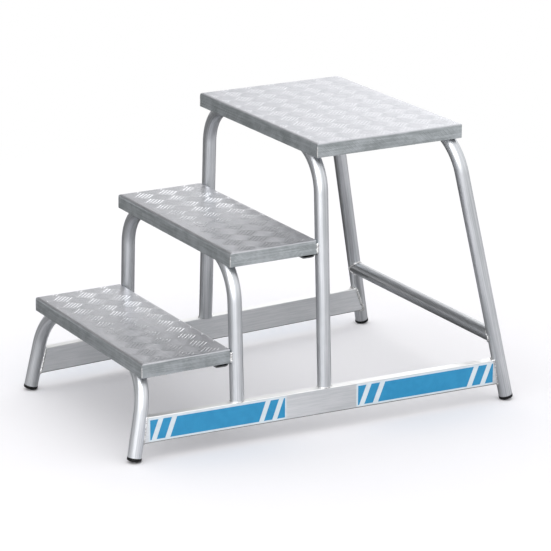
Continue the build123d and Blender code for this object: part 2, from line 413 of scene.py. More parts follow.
def bar_layout(low, high, phase):
    """Centres and directions of all bars near the sheet: a group at each corner of a grid of cells, and one
    of the other hand at each cell's middle; in a group the bars lie side by side at equal spacing."""
    reach = np.array([high[0], (high[1] - low[1]) / 2]) + sheet_margin
    middle = np.array([0, (low[1] + high[1]) / 2])
    count = np.ceil(reach / group_pitch).astype(int) + 1
    cells = np.stack(np.meshgrid(*[np.arange(-n, n + 1) for n in count], indexing="ij"), -1).reshape(-1, 2)
    place_in_group = (np.arange(bars_in_group) - (bars_in_group - 1) / 2) * bar_spacing
    centres, directions = [], []
    for hand, shift in ((-1, 0.0), (1, 0.5)):
        direction = np.array([np.cos(bar_angle), hand * np.sin(bar_angle)])
        beside = np.array([-direction[1], direction[0]])
        groups = (cells + shift) * group_pitch + phase
        bars = groups[:, None] + place_in_group[:, None] * beside
        centres.append(bars.reshape(-1, 2))
        directions.append(np.broadcast_to(direction, centres[-1].shape))
    return np.concatenate(centres) + middle, np.concatenate(directions)


def sheet_zones(low, high):
    """Lowest and highest sheet points of the flat top and of the four skirts. The folds between them
    are pressed plain."""
    flat_low = np.array([-high[0] + side_fold, low[1] + front_fold])
    flat_high = np.array([high[0] - side_fold, high[1] - side_fold])
    side_arc = (side_fold - bar_height) * pi / 2
    front_arc = (front_fold - bar_height) * pi / 2
    side_end = side_arc + skirt_height - side_fold
    front_end = front_arc + skirt_height - front_fold
    return [
        (flat_low, flat_high),
        ((flat_high[0] + side_arc, flat_low[1]), (flat_high[0] + side_end, flat_high[1])),
        ((flat_low[0] - side_end, flat_low[1]), (flat_low[0] - side_arc, flat_high[1])),
        ((flat_low[0], flat_low[1] - front_end), (flat_high[0], flat_low[1] - front_arc)),
        ((flat_low[0], flat_high[1] + side_arc), (flat_high[0], flat_high[1] + side_end)),
    ]


def cut_to_zones(centres, directions, zones):
    """The bars' places, ends and height shares, cut off where each zone of the sheet ends.
    Short stubs are left out, and bars on the skirts are pressed lower."""
    pieces = []
    for zone, (zone_low, zone_high) in enumerate(zones):
        one = (np.array(zone_low) - centres) / directions
        other = (np.array(zone_high) - centres) / directions
        begin = np.maximum(np.minimum(one, other).max(1), -bar_length / 2)
        finish = np.minimum(np.maximum(one, other).min(1), bar_length / 2)
        keep = finish - begin > shortest_bar
        press = np.full(keep.sum(), skirt_press if zone else 1.0)
        pieces.append([centres[keep], directions[keep], begin[keep], finish[keep], press])
    return [np.concatenate(column) for column in zip(*pieces)]


def bar_nets(centres, directions, begin, finish, press):
    """Sheet points and heights of every bar: sections along it, each a low ridge of four points.
    The half width along the bar is width / 2 * (tip + (1 - tip) * (1 - t^2)^roundness), t from -1 to 1."""
    t = np.linspace(-1, 1, bar_sections)
    swell = bar_tip + (1 - bar_tip) * (1 - t**2) ** bar_roundness
    along = (begin + finish)[:, None] / 2 + (finish - begin)[:, None] / 2 * t
    across = bar_width / 2 * swell[:, None] * ridge_across
    crown = np.where(np.abs(t) == 1, tip_height, 1.0)[:, None] * ridge_height
    height = crown * (bar_height * press[:, None, None] + bar_sink) - bar_sink
    beside = np.stack([-directions[:, 1], directions[:, 0]], -1)
    flat = (
        centres[:, None, None]
        + along[:, :, None, None] * directions[:, None, None]
        + across[None, :, :, None] * beside[:, None, None]
    )
    return flat, height

# %% [markdown]
# Folding works on the points of the bars as a press works on the sheet. A point past the start of a
# fold goes round the arc by its distance from there, and what is left of that distance runs down
# the skirt. A bend modifier could do one edge at a time; this does all four at once, for thousands
# of bars.


# %% Chequer bars folded with the sheet
def fold_over(past, height, fold):
    """Outward reach and drop of sheet points past a fold's start: round an arc, then down the skirt."""
    radius = fold - bar_height
    angle = np.clip(past / radius, 0, pi / 2)
    outward = np.where(past > 0, (radius + height) * np.sin(angle), past)
    drop = radius + height - (radius + height) * np.cos(angle) + np.maximum(past - radius * pi / 2, 0)
    return outward, drop


def folded_points(flat, height, low, high):
    """Places of sheet points on the folded tray."""
    side_out, side_drop = fold_over(np.abs(flat[..., 0]) - (high[0] - side_fold), height, side_fold)
    front_out, front_drop = fold_over(low[1] + front_fold - flat[..., 1], height, front_fold)
    back_out, back_drop = fold_over(flat[..., 1] - (high[1] - side_fold), height, side_fold)
    x = np.sign(flat[..., 0]) * (high[0] - side_fold + side_out)
    near_front = flat[..., 1] < (low[1] + high[1]) / 2
    y = np.where(near_front, low[1] + front_fold - front_out, high[1] - side_fold + back_out)
    z = high[2] - bar_height + height - side_drop - front_drop - back_drop
    return np.stack([x, y, z], -1)


def bar_faces(bars, first):
    """Faces of all bars, numbered from a first point: four round each length and a cap at both ends."""
    points = bar_sections * ridge_points
    first_cap = np.arange(ridge_points)
    sides = net_faces(bar_sections, ridge_points, False, True)
    one_bar = np.concatenate([sides, [first_cap, points - 1 - first_cap]])
    return (first + np.arange(bars)[:, None, None] * points + one_bar).reshape(-1, 4)


def tread_piece(node, phase):
    """A tray with its bars as one mesh."""
    low, high = corners_of(node)
    rings = tray_rings(low, high)
    count, width = rings.shape[:2]
    faces = net_faces(count, width, False, True).tolist()
    faces.append(list(range(width)))
    faces.append(list(range((count - 1) * width, count * width)))
    bars = cut_to_zones(*bar_layout(low, high, phase), sheet_zones(low, high))
    points = folded_points(*bar_nets(*bars), low, high)
    faces += bar_faces(len(points), count * width).tolist()
    every_point = np.concatenate([rings.reshape(-1, 3), points.reshape(-1, 3)])
    piece = make_piece(node + "_plate", every_point, faces, sharp=crisp_turn)
    place_piece(piece, "chequer_plate", node)
    print(node, "bars:", len(points))
    return piece


group_phase = {
    "lower_tread": np.array([-0.0107, 0.0004]),
    "middle_tread": np.array([-0.0140, -0.0010]),
    "platform": np.array([-0.0069, -0.0048]),
}
plate_pieces = [tread_piece(node, phase) for node, phase in group_phase.items()]

# %% [markdown]
# A weld bead is a row of small overlapping puddles, so its surface is rippled. The same ring of
# points is carried along the joint's line, with a radius that swells once per ripple and shrinks to
# nothing at an open end. A displaced cylinder could do the same, but here the line itself may be
# any curve, such as the saddle at a rail's end.

# %% Weld beads
ripple_pitch = 0.0030
ripple_depth = 0.12  # share of the radius
bead_sides = 12
bead_step = 0.0006
bead_radius = {
    "rail_beads": 0.0018,
    "inner_rail_beads": 0.0030,
    "leg_foot_beads": 0.0014,
    "brace_beads": 0.0021,
    "tread_back_beads": 0.0032,
    "tread_seam_beads": 0.0011,
}


def bead_net(line, radius, closed=False):
    """Rings round a line of even steps: centre + r * (cos * one + sin * other), square to the line.
    r = radius * (1 - depth + depth * |sin(pi * length / pitch)|), rounded off at open ends."""
    if closed:
        heading = unit(np.roll(line, -1, 0) - np.roll(line, 1, 0))
    else:
        heading = unit(np.gradient(line, axis=0))
    length = np.arange(len(line)) * np.linalg.norm(line[1] - line[0])
    r = radius * (1 - ripple_depth + ripple_depth * np.abs(np.sin(pi * length / ripple_pitch)))
    if not closed:
        from_end = np.minimum(length, length[-1] - length)
        r = r * np.sqrt(np.clip(1 - (1 - np.clip(from_end / radius, 0, 1)) ** 2, 0.01, 1))
    least = np.eye(3)[np.abs(heading).mean(0).argmin()]
    one = unit(np.cross(heading, least))
    other = np.cross(heading, one)
    turn = np.linspace(0, 2 * pi, bead_sides, endpoint=False)[None, :, None]
    return line[:, None] + r[:, None, None] * (np.cos(turn) * one[:, None] + np.sin(turn) * other[:, None])


def even_line(points, closed=False):
    """The same line in even short steps."""
    if closed:
        points = np.vstack([points, points[:1]])
    length = np.concatenate([[0], np.cumsum(np.linalg.norm(np.diff(points, axis=0), axis=1))])
    spots = np.linspace(0, length[-1], int(length[-1] / bead_step) + 2)
    line = np.stack([np.interp(spots, length, points[:, axis]) for axis in range(3)], -1)
    return line[:-1] if closed else line


def beads_piece(name, lines, node, closed=False):
    """All beads of one kind on the right side and their mirror images, as one mesh."""
    points, faces = [], []
    first = 0
    for line in lines:
        net = bead_net(even_line(line, closed), bead_radius[name], closed)
        for rings in (net, net * [-1, 1, 1]):
            count = len(rings)
            faces += (net_faces(count, bead_sides, closed, True) + first).tolist()
            if not closed:
                faces.append([first + n for n in range(bead_sides)])
                faces.append([first + (count - 1) * bead_sides + n for n in range(bead_sides)])
            points.append(rings.reshape(-1, 3))
            first += count * bead_sides
    piece = make_piece(name, np.concatenate(points), faces, sharp=70)
    place_piece(piece, "weld", node)
    return piece

# %% [markdown]
# The beads need the lines of their joints. The rails splay outwards a little to the back, so points
# are placed along the rail's own direction, read off the front label that lies flat on it. Where a
# rail or the brace meets a round leg, the outline of the joining piece runs on to the leg, as the
# brace's ends do.

# %% Bead lines on the frame
rail_low, rail_high = corners_of("right_rail")
rail_thickness = 0.018
rail_height = rail_high[2] - rail_low[2]
label_low, label_high = corners_of("right_front_label")
label_thickness = 0.0004
rail_slope = (label_high[0] - label_low[0] - label_thickness) / (label_high[1] - label_low[1])
rail_direction = unit(np.array([rail_slope, 1.0, 0]))
rail_outward = np.array([rail_direction[1], -rail_direction[0], 0])
bead_lift = 0.0006  # how far a bead's middle stands off the metal it runs round
bead_back = 0.0008  # and off the leg it runs against


def rail_point(y, outward, height):
    """A point by the right rail: at a Y, so far outwards from its middle plane, at a height."""
    on_face = label_low + rail_direction * (y - label_low[1]) / rail_direction[1]
    middle = on_face - rail_outward * rail_thickness / 2
    place = np.multiply.outer(np.asarray(outward), rail_outward) + [middle[0], middle[1], 0]
    place[..., 2] = height
    return place


def rail_to_leg(outward, height, node, sign):
    """Points by the rail's section, moved along the rail until they are just short of a floor leg."""
    start = rail_point(0.0, outward, height)
    travel = run_to_leg(start, sign * rail_direction, node)
    return start + (travel - bead_back)[:, None] * sign * rail_direction


def rail_end_line(node, sign):
    """Round the rail's end at a floor leg. The section is a rectangle with rounded corners: the half width
    times cos(turn)^power and the half height times sin(turn)^power, each with its sign."""
    turn = np.linspace(0, 2 * pi, num=240, endpoint=False)
    power = 0.16
    outward = np.sign(np.cos(turn)) * np.abs(np.cos(turn)) ** power * (rail_thickness / 2 + bead_lift)
    height = np.sign(np.sin(turn)) * np.abs(np.sin(turn)) ** power * (rail_height / 2 + bead_lift)
    return rail_to_leg(outward, height + (rail_low[2] + rail_high[2]) / 2, node, sign)


def inner_rail_line(node, sign):
    """Down the inner face of the rail where it meets a floor leg: the side that gets the stronger bead."""
    end_gap = 0.001
    height = np.linspace(rail_low[2] + end_gap, rail_high[2] - end_gap, num=40)
    return rail_to_leg(np.full(len(height), -rail_thickness / 2), height, node, sign)


def leg_foot_line(node):
    """Round the outer part of a leg's foot on the rail's top, as far as the rail is wide."""
    end, corner = legs[node]
    far = np.arccos((tube_radius - rail_thickness) / tube_radius)
    turn = np.linspace(-far, far, num=60)[:, None]
    ring = (tube_radius + bead_lift) * (np.cos(turn) * rail_outward + np.sin(turn) * rail_direction)
    return end + ring + [0, 0, bead_lift]


def brace_end_line():
    """Where the brace meets the right rear leg."""
    turn = np.linspace(0, 2 * pi, num=160, endpoint=False)
    ring = np.stack([0 * turn, np.cos(turn), np.sin(turn)], -1) * (tube_radius + bead_lift) + brace_middle
    reach = run_to_leg(ring, np.array([1.0, 0, 0]), "rear_hoop")
    return ring + (reach - bead_back)[:, None] * [1, 0, 0]


rail_ends = (("front_hoop", -1), ("rear_hoop", 1))
outer_lines = [rail_end_line(*rail_end) for rail_end in rail_ends]
inner_lines = [inner_rail_line(*rail_end) for rail_end in rail_ends]
foot_lines = [leg_foot_line(node) for node in ("middle_hoop", "upper_hoop")]
weld_pieces = [
    beads_piece("rail_beads", outer_lines, "rail_welds", True),
    beads_piece("inner_rail_beads", inner_lines, "rail_welds"),
    beads_piece("leg_foot_beads", foot_lines, "hoop_foot_welds"),
    beads_piece("brace_beads", [brace_end_line()], "brace_welds", True),
]

# %% [markdown]
# A tread's skirts meet at its corners, and the front corners are welded shut. The step treads have
# stronger beads at the back, where they join the legs of the next hoop. All of them are straight
# upright lines.

# %% Bead lines on the treads
rim_gap = 0.0005  # between a bead's lower end and the skirt's rim
seam_inset = 0.0012  # from the front corner's two faces
back_outset = 0.0004  # behind the tread's back, and in from its side


def upright_line(x, y, top):
    """An upright joint down a skirt, from below the fold to the lower rim."""
    height = np.linspace(top - skirt_height + rim_gap, top - front_fold, num=40)
    return np.stack([0 * height + x, 0 * height + y, height], -1)


back_lines, seam_lines = [], []
for node in ("lower_tread", "middle_tread", "platform"):
    low, high = corners_of(node)
    seam_lines.append(upright_line(high[0] - seam_inset, low[1] + seam_inset, high[2]))
    if node != "platform":
        back_lines.append(upright_line(high[0] - back_outset, high[1] + back_outset, high[2]))
weld_pieces.append(beads_piece("tread_back_beads", back_lines, "tread_back_welds"))
weld_pieces.append(beads_piece("tread_seam_beads", seam_lines, "corner_welds"))

# %% [markdown]
# The labels are printed film on the rails' outer faces: blue with a pale border and two slanting
# bars at each end. A flat plane would do from afar, but a thin sheet with rounded corners and a
# slight bevel catches the light at its rim as film does. Its own coordinates run from 0 to 1 along
# and up the print, in the direction it is read, so one finish prints every label, on either side of
# the steps.

# %% Labels
label_corner = 0.002
film_edge = 0.00012
print_length = {"front": 0.3070, "rear": 0.3307}  # the rear film is trimmed shorter than its print
corner_points = 6


def label_piece(side, end):
    """Film on one rail: three rings of a rounded rectangle, at the rail's face, just under the film's outer
    face, and on that face but a little smaller."""
    node = side + "_" + end + "_label"
    low, high = corners_of("right_" + end + "_label")
    length = (high[1] - low[1]) / rail_direction[1]
    height = high[2] - low[2]
    corner = np.linspace(0, pi / 2, corner_points)
    quarter = np.concatenate([corner, corner + pi / 2, corner + pi, corner + 1.5 * pi])
    far_along, far_up = length - label_corner, height - label_corner
    centre_along = np.repeat([far_along, label_corner, label_corner, far_along], corner_points)
    centre_up = np.repeat([far_up, far_up, label_corner, label_corner], corner_points)
    along, upward, out = [], [], []
    for shrink, lift in ((0, 0), (0, label_thickness - film_edge), (film_edge, label_thickness)):
        along.append(centre_along + (label_corner - shrink) * np.cos(quarter))
        upward.append(centre_up + (label_corner - shrink) * np.sin(quarter))
        out.append(np.full(len(quarter), lift))
    along, upward, out = np.array(along), np.array(upward), np.array(out)
    points = low + along[..., None] * rail_direction + out[..., None] * rail_outward
    points[..., 2] += upward
    if side == "left":
        points = points * [-1, 1, 1]
    count = points.shape[1]
    faces = net_faces(3, count, False, True).tolist()
    faces += [list(range(count)), list(range(2 * count, 3 * count))]
    across = along / print_length[end]
    if side == "left":
        across = 1 - across
    flat_uv = np.stack([across, upward / height], -1).reshape(-1, 2)
    uv = flat_uv[np.concatenate([np.array(face) for face in faces])]
    piece = make_piece(node + "_film", points, faces, uv)
    place_piece(piece, "label", node)
    return piece


label_pieces = [label_piece(side, end) for side in ("left", "right") for end in ("front", "rear")]

# %% [markdown]
# Finishes are drawn with shader nodes. Wiring nodes one by one is long to read, so a small class
# wraps a socket: Python's arithmetic on it adds Math nodes, and one method adds any other node.
# Each finish below is then a few lines that read like a formula. Only sockets that can be baked get
# a varying value.


# %% Shader arithmetic
class Shade:
    """One socket of a material's nodes. Arithmetic with numbers or other sockets adds Math nodes."""

    def __init__(self, tree, socket=None):
        self.tree = tree
        self.socket = socket

    def node(self, kind, settings, inputs, output=0):
        """Any node: its settings come first, then each input's value or link; gives one output."""
        made = self.tree.nodes.new("ShaderNode" + kind)
        for name, value in settings.items():
            setattr(made, name, value)
        for name, value in inputs.items():
            if isinstance(value, Shade):
                self.tree.links.new(value.socket, made.inputs[name])
            else:
                made.inputs[name].default_value = value
        return Shade(self.tree, made.outputs[output])

    def math(self, operation, *values):
        return self.node("Math", {"operation": operation}, dict(enumerate(values)))

    def __add__(self, other):
        return self.math("ADD", self, other)

    def __sub__(self, other):
        return self.math("SUBTRACT", self, other)

    def __rsub__(self, other):
        return self.math("SUBTRACT", other, self)

    def __mul__(self, other):
        return self.math("MULTIPLY", self, other)

    __radd__ = __add__
    __rmul__ = __mul__

    def step(self, low, high):
        """0 below low, 1 above high, with a smooth rise between them."""
        inputs = {"Value": self, "From Min": low, "From Max": high}
        return self.node("MapRange", {"interpolation_type": "SMOOTHSTEP"}, inputs)

    def mix(self, first, second):
        """A colour between two colours, by this value from 0 to 1."""
        return self.node("Mix", {"data_type": "RGBA"}, {0: self, 6: first, 7: second}, 2)

    def parts(self):
        """The three numbers of a vector."""
        split = self.node("SeparateXYZ", {}, {"Vector": self})
        return [Shade(self.tree, socket) for socket in split.socket.node.outputs]

    def measure(self, operation, *others):
        """A number worked out from a vector, such as its length or its distance from another."""
        vectors = dict(enumerate((self, *others)))
        return self.node("VectorMath", {"operation": operation}, vectors, "Value")

    def stretched(self, *scale):
        """A vector with each of its numbers multiplied."""
        return self.node("VectorMath", {"operation": "MULTIPLY"}, {0: self, 1: scale})

    def noise(self, scale, detail=2.0, roughness=0.5):
        """Cloudy values around one half, at a vector's place."""
        inputs = {"Vector": self, "Scale": scale, "Detail": detail, "Roughness": roughness}
        return self.node("TexNoise", {}, inputs)


def grey(value, less_red=0.0, more_blue=0.0):
    """A grey with a little less red or more blue in it."""
    return (value * (1 - less_red), value, value * (1 + more_blue), 1)


def new_finish(name, metallic, pieces, coordinates="Object"):
    """A material on the given pieces: gives its shader and the coordinates that its values come from."""
    material = bpy.data.materials.new(name)
    material.use_nodes = True
    shader = material.node_tree.nodes["Principled BSDF"]
    shader.inputs["Metallic"].default_value = metallic
    for piece in pieces:
        piece.data.materials.clear()
        piece.data.materials.append(material)
    print("finish", name, "on", len(pieces), "pieces")
    return shader, Shade(material.node_tree).node("TexCoord", {}, {}, coordinates)


def connect(shader, name, value):
    """Feeds one input of a finish's shader."""
    value.tree.links.new(value.socket, shader.inputs[name])


def bump(height, distance, strength=1.0):
    """A normal from a height that is in units of the distance."""
    return height.node("Bump", {}, {"Height": height, "Distance": distance, "Strength": strength})


# %% [markdown]
# Aluminium that was drawn through a die has very fine lines along its length and a satin shine. The
# lines are noise squeezed across the tube and stretched along it, so they need the tube's own
# coordinates, or the rail's long axis. A second, coarser set of lines shows from further away. The
# brace is a darker tube than the hoops. The tops of the rails carry a painted highlight, a pale band
# where they catch the light, and their lowest edges carry a painted shade, a dark line where they
# mirror the shadow under them.


# %% Drawn tubes and rails
hoop_tone = 0.70
brace_tone = 0.48
rail_tone = 0.80
# painted highlight: the pale tone and the depth of the rails' bright top strip
painted_highlight_tone = 0.94
painted_highlight_depth = 0.0022, 0.0006  # below the rail's top: where the painted highlight begins, and where it is full
painted_shade_height = 0.0016, 0.0028  # above its lowest edge: where the painted shade begins to thin, and where it ends


def drawn_lines(across_once, across_twice):
    """Fine and coarse lines along the metal, from its coordinates already stretched for each."""
    fine = across_once.noise(1.0, 4.0, 0.65)
    coarse = across_twice.noise(1.0, 2.0, 0.5)
    return fine, coarse


def drawn_tube(name, pieces, tone):
    """Satin tube: lines along it and slow clouds change its colour, roughness and surface a little."""
    shader, surface = new_finish(name, 1.0, pieces, "UV")
    fine, coarse = drawn_lines(surface.stretched(9.0, 1500.0, 1.0), surface.stretched(4.0, 330.0, 1.0))
    cloud = surface.stretched(14.0, 40.0, 1.0).noise(1.0, 3.0)
    shine = (fine * 0.2 + coarse * 0.6 + cloud * 0.2).step(0.38, 0.62)
    connect(shader, "Base Color", shine.mix(grey(tone * 0.80, 0.04, 0.04), grey(tone * 1.06, 0.02, 0.04)))
    connect(shader, "Roughness", 0.33 + fine * 0.10 + cloud * 0.06)
    connect(shader, "Normal", bump(fine, 0.00004, 0.6))


drawn_tube("drawn_tube", tube_pieces, hoop_tone)
drawn_tube("drawn_brace", [brace], brace_tone)


def drawn_rail(pieces, tone):
    """Satin rail with lines along it, a painted highlight along its top and a painted shade along its
    lowest edge.
    """
    shader, place = new_finish("drawn_rail", 0.85, pieces)
    fine, coarse = drawn_lines(place.stretched(900.0, 7.0, 900.0), place.stretched(260.0, 3.0, 260.0))
    cloud = place.stretched(30.0, 10.0, 30.0).noise(1.0, 3.0)
    height = place.parts()[2]
    # mask of the painted highlight along the rail's top strip
    painted_highlight = height.step(rail_high[2] - painted_highlight_depth[0], rail_high[2] - painted_highlight_depth[1])
    # mask of the painted shade along the rail's lowest edge
    painted_shade = 1 - height.step(rail_low[2] + painted_shade_height[0], rail_low[2] + painted_shade_height[1])
    shine = (fine * 0.3 + coarse * 0.4 + cloud * 0.3).step(0.38, 0.62)
    face = shine.mix(grey(tone * 0.88, 0.03, 0.03), grey(tone, 0.01, 0.03))
    # the top strip is painted pale: a painted highlight
    face = painted_highlight.mix(face, grey(painted_highlight_tone))
    # the lowest edge is painted dark: a painted shade
    connect(shader, "Base Color", painted_shade.mix(face, grey(tone * 0.33)))
    connect(shader, "Roughness", 0.42 + fine * 0.10 + cloud * 0.06)
    connect(shader, "Normal", bump(fine, 0.00004, 0.6))


drawn_rail([nodes["left_rail"], nodes["right_rail"]], rail_tone)

# %% [markdown]
# The chequer plate is bright as it leaves the rolls: fairly glossy, with faint streaks along the
# rolling direction and uneven patches where it was handled. The platform's top is the most matt,
# worn by standing shoes, and the two step treads keep more of their shine. The tones carry painted
# light: each top is painted lighter than its skirts, which are painted darker as shade, the platform's
# top is painted palest and the step treads' tops greyer. A height in each piece tells its top from its
# skirts, which show the streaks best.
# Streaks could be drawn as even bands, but stretched noise gives lines of uneven length, as rolls
# do.


# %% Chequer plate
painted_light_top_depth = 0.004, 0.001  # below the top: where its painted light begins, and where it is full
side_depth = 0.004, 0.002  # inside the side: where its streaks begin to turn, and where they have turned


def rolled_plate(name, piece, tone, painted_light_top_tone, dullness):
    """Mill-finished sheet: streaks, patches and a fine grain, with a lighter tone on top as painted light
    and a darker one on the skirts as painted shade. The streaks run along the tread, and along each side
    skirt."""
    shader, place = new_finish(name, 0.78, [piece])
    half_width, top = np.max(piece.bound_box, axis=0)[[0, 2]]
    x, height = place.parts()[::2]
    painted_light_top_mask = height.step(top - painted_light_top_depth[0], top - painted_light_top_depth[1])
    on_side = x.math("ABSOLUTE", x).step(half_width - side_depth[0], half_width - side_depth[1])
    lengthways = place.stretched(11.0, 330.0, 330.0).noise(1.0, 3.0, 0.6)
    sideways = place.stretched(330.0, 11.0, 330.0).noise(1.0, 3.0, 0.6)
    streaks = lengthways + (sideways - lengthways) * on_side
    patches = place.noise(38.0, 4.0, 0.6)
    grain = place.noise(900.0, 2.0)
    # painted light and shade: the top gets a lighter tone than the skirts
    bright = painted_light_top_mask.mix(grey(tone * 1.06, 0.06, 0.04), grey(painted_light_top_tone, 0.0, 0.05))
    dull = painted_light_top_mask.mix(grey(tone * 0.70, 0.08, 0.03), grey(painted_light_top_tone * 0.88, 0.02, 0.05))
    shine = (streaks * 0.55 + patches * 0.45).step(0.36, 0.64)
    connect(shader, "Base Color", shine.mix(dull, bright))
    connect(shader, "Roughness", dullness + patches * 0.12 + streaks * 0.06)
    connect(shader, "Normal", bump(grain * 0.6 + streaks * 0.4, 0.00006, 0.6))


# painted light and shade: the skirts are painted darker and the tops lighter, the platform's top palest
painted_shade_skirt_tones = (0.47, 0.53, 0.50)  # lower tread, middle tread, platform
painted_light_top_tones = (0.61, 0.575, 0.64)
top_dullness = (0.22, 0.225, 0.42)
for piece, tone, painted_light_top_tone, dullness in zip(plate_pieces, painted_shade_skirt_tones, painted_light_top_tones, top_dullness):
    rolled_plate(piece.name + "_finish", piece, tone, painted_light_top_tone, dullness)

# %% [markdown]
# The folded channels behind the treads are the same aluminium without the pattern, painted very dark
# as the shade they sit in under the treads, and the weld beads are brighter, with sooty specks between
# their ripples. They could share the plate's finish, but its painted top and skirt tones mean nothing
# on a strip or a bead, so each has a short finish of its own.


# %% Channels and welds
def painted_shade_channel(pieces):
    """Mill-finished strip with streaks along it, painted very dark as shade."""
    shader, place = new_finish("painted_shade_channel", 1.0, pieces)
    streaks = place.stretched(10.0, 420.0, 420.0).noise(1.0, 3.0, 0.6)
    patches = place.noise(20.0, 4.0, 0.6)
    shine = (streaks * 0.5 + patches * 0.5).step(0.32, 0.68)
    # painted shade: both greys are very dark, for the shade under the treads
    connect(shader, "Base Color", shine.mix(grey(0.15, 0.03, 0.03), grey(0.21, 0.03, 0.03)))
    connect(shader, "Roughness", 0.34 + patches * 0.12)
    connect(shader, "Normal", bump(streaks, 0.00005, 0.5))


def weld_metal(pieces):
    """Bright aluminium bead with sooty specks between its ripples."""
    shader, place = new_finish("weld_bead", 1.0, pieces)
    soot = place.noise(260.0, 3.0)
    grain = place.noise(1400.0, 2.0)
    connect(shader, "Base Color", soot.step(0.38, 0.62).mix(grey(0.48), grey(0.82)))
    connect(shader, "Roughness", 0.42 + soot * 0.14)
    connect(shader, "Normal", bump(grain, 0.00008, 0.5))


painted_shade_channel([nodes["lower_rear_channel"], nodes["middle_rear_channel"]])
weld_metal(weld_pieces + [nodes["stitch_welds"]])

# %% [markdown]
# The plugs are moulded black plastic, dull and finely grained, with paler scuffs low down where
# they meet the floor. An even black would look like a hole in the picture: the grain breaks up the
# highlight, and a mask by height keeps the scuffs where they happen.


# %% Plugs
scuff_height = 0.001, 0.006  # above the floor: where the scuffs begin to thin, and where they end


def plug_plastic(pieces):
    """Black plastic with grain, and scuffs within a few millimetres of the floor."""
    shader, place = new_finish("plug_plastic", 0.0, pieces)
    shader.inputs["Specular IOR Level"].default_value = 0.2
    grain = place.noise(700.0, 3.0)
    height = place.parts()[2]
    streaks = place.stretched(300.0, 300.0, 900.0).noise(1.0, 4.0).step(0.52, 0.75)
    scuffs = streaks * (1 - height.step(*scuff_height))
    connect(shader, "Base Color", scuffs.mix((0.008, 0.008, 0.009, 1), (0.06, 0.06, 0.06, 1)))
    connect(shader, "Roughness", 0.36 + grain * 0.12 + scuffs * 0.2)
    connect(shader, "Normal", bump(grain, 0.00010, 0.5))


plug_plastic([nodes[side + "_" + end + "_foot"] for side in ("left", "right") for end in ("front", "rear")])

# %% [markdown]
# The label's print is worked out from its two coordinates. The distance to the nearest edge gives
# the pale border. For the slanting bars the along coordinate is sheared by the height, and its
# distance from the nearer end is compared with the two bars' places. Every edge is a short smooth
# step, so the print stays crisp but not jagged.


# %% Label print
print_edge = 0.0012  # softness of the print's edges; the sizes along the label are shares of its length
border_share = 0.0105
rim_shares = 0.068, 0.076  # of the height: where the border along the long edges begins to end, and ends
bar_slant = 0.058  # how far a bar leans over the label's height
bar_shares = (0.0445, 0.0815), (0.1415, 0.1790)  # where each bar begins and ends, from the label's end


def label_print(pieces):
    """Blue film with a pale border and two slanting pale bars at each end."""
    shader, surface = new_finish("label_print", 0.0, pieces, "UV")
    along, upward = surface.parts()[:2]
    end = along.math("MINIMUM", along, 1 - along)
    rim = upward.math("MINIMUM", upward, 1 - upward)
    ends = 1 - end.step(border_share, border_share + print_edge)
    border = ends.math("MAXIMUM", ends, 1 - rim.step(*rim_shares))
    sheared = along - bar_slant * (upward - 0.5)
    from_end = sheared.math("MINIMUM", sheared, 1 - sheared)
    for begin, finish in bar_shares:
        bar = from_end.step(begin, begin + print_edge) * (1 - from_end.step(finish - print_edge, finish))
        border = border.math("MAXIMUM", border, bar)
    place = surface.node("TexCoord", {}, {}, "Object")
    ink = place.noise(60.0, 3.0)
    blue = ink.step(0.3, 0.7).mix((0.011, 0.255, 0.500, 1), (0.015, 0.280, 0.535, 1))
    pale = ink.step(0.3, 0.7).mix((0.64, 0.72, 0.77, 1), (0.70, 0.78, 0.83, 1))
    connect(shader, "Base Color", border.mix(blue, pale))
    connect(shader, "Roughness", 0.30 + ink * 0.12)
    connect(shader, "Normal", bump(place.noise(300.0, 2.0), 0.00005, 0.4))


label_print(label_pieces)

# %% [markdown]
# The floor is one pale sheet. Near the steps it is plain matt and holds their soft shadow; further
# away it fades to the white of the backdrop, for the camera and for what the metal mirrors alike.
# More light would make it white too, but it would also wash out the metal, so the white is in the
# floor.

# %% Floor
floor_half = 14.0
backdrop_white = 1.0
floor_fade = 0.8, 2.2  # metres from the middle, from plain paper to backdrop
floor_line = np.linspace(-floor_half, floor_half, 3)


def flat_sheet(name, height):
    """A level sheet over the whole studio floor: a grid of X and Y at one height."""
    grid = np.stack(np.meshgrid(floor_line, floor_line, [height], indexing="ij"), -1)
    return make_piece(name, grid, net_faces(3, 3))


def studio_finish(sheet):
    """Gives a sheet a bare material: its nodes, and where they end."""
    material = bpy.data.materials.new(sheet.name + "_finish")
    material.use_nodes = True
    tree = material.node_tree
    tree.nodes.remove(tree.nodes["Principled BSDF"])
    sheet.data.materials.append(material)
    return Shade(tree), tree.nodes["Material Output"].inputs["Surface"]


paint, floor_end = studio_finish(flat_sheet("floor", 0.0))
spot = paint.node("TexCoord", {}, {}, "Object")
away = spot.measure("LENGTH")
ray_kinds = ("Is Camera Ray", "Is Glossy Ray", "Is Transmission Ray")
straight, mirrored, clear = [paint.node("LightPath", {}, {}, kind) for kind in ray_kinds]
shows_backdrop = straight.math("MAXIMUM", straight, mirrored.math("MAXIMUM", mirrored, clear))
paper = spot.noise(40.0).mix((0.962, 0.955, 0.982, 1), (0.970, 0.963, 0.990, 1))
matt = paint.node("BsdfDiffuse", {}, {"Color": paper})
white = paint.node("Emission", {}, {"Strength": backdrop_white})
faded = paint.node("MixShader", {}, {0: shows_backdrop * away.step(*floor_fade), 1: matt, 2: white})
paint.tree.links.new(faded.socket, floor_end)

# %% [markdown]
# Bright metal is mostly a picture of what stands round it. In an all-white room a round tube would
# look flat, so photographers lay and hang dark cloth beside it, out of the picture. Here one cloth
# lies on the floor. It is thicker on the left and in a band under the brace, thinner to the back
# right and open towards the camera. A grey screen hangs in a curve on the left, and its lower edge
# slopes up towards the back. Only mirror reflections see the two: they hide nothing from the camera
# and take no light away.

